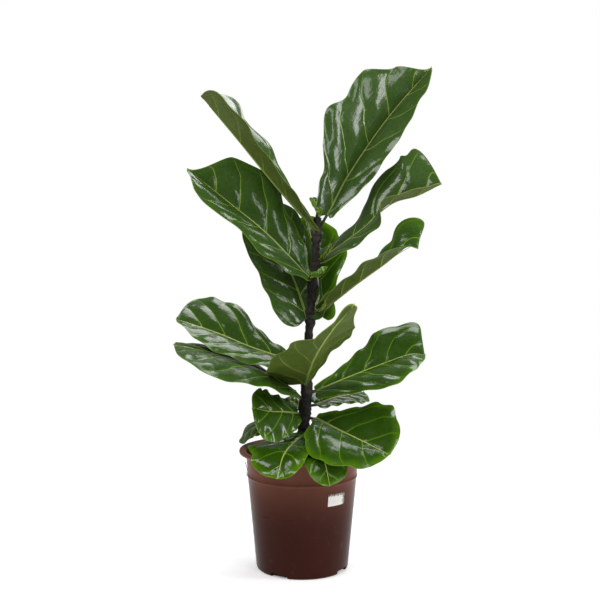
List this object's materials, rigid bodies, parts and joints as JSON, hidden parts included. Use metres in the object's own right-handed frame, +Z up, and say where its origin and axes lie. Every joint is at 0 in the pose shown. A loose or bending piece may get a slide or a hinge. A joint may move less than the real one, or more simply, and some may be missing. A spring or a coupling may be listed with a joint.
{
  "type": "potted fiddle leaf fig",
  "caption": "Young fiddle leaf fig in a plain brown plant pot: upright woody stem with large, glossy, waisted leaves that spread and droop over the rim.",
  "frame": {"origin": "centre of the pot's flat underside, on the surface that the pot stands on", "axes": "+Z up along the pot, +X to the right of the plant seen from the front, +Y away from the front"},
  "size_m": [0.5303, 0.4108, 1.0191],
  "materials": {
    "pot": "satin moulded brown plastic",
    "soil": "crumbly moist peat soil, matte",
    "bark": "dark brown young bark, matte",
    "bud_sheath": "papery red-brown bud scales",
    "leaf": "waxy deep green upper face, paler matte underside, yellow-green veins",
    "paper_label": "bare off-white sticker",
    "fine_root": "dry brown fibre"
  },
  "bodies": {
    "root": {"pot": "pot", "soil": "soil", "stem": "bark", "bud": "bud_sheath", "label": "paper_label", "root_thread": "fine_root", "leaf_crown_right": "leaf", "leaf_crown_left": "leaf", "leaf_upper_left": "leaf", "leaf_upper_left_back": "leaf", "leaf_upper_back": "leaf", "leaf_upper_right": "leaf", "leaf_mid_right": "leaf", "leaf_mid_left": "leaf", "leaf_mid_left_low": "leaf", "leaf_front": "leaf", "leaf_low_right": "leaf", "leaf_low_right_back": "leaf", "leaf_drooping_right": "leaf", "leaf_crinkled_left": "leaf", "leaf_small_left_back": "leaf", "leaf_drooping_front": "leaf", "leaf_hanging_front": "leaf", "leaf_rim_left": "leaf"}
  },
  "joints": []
}
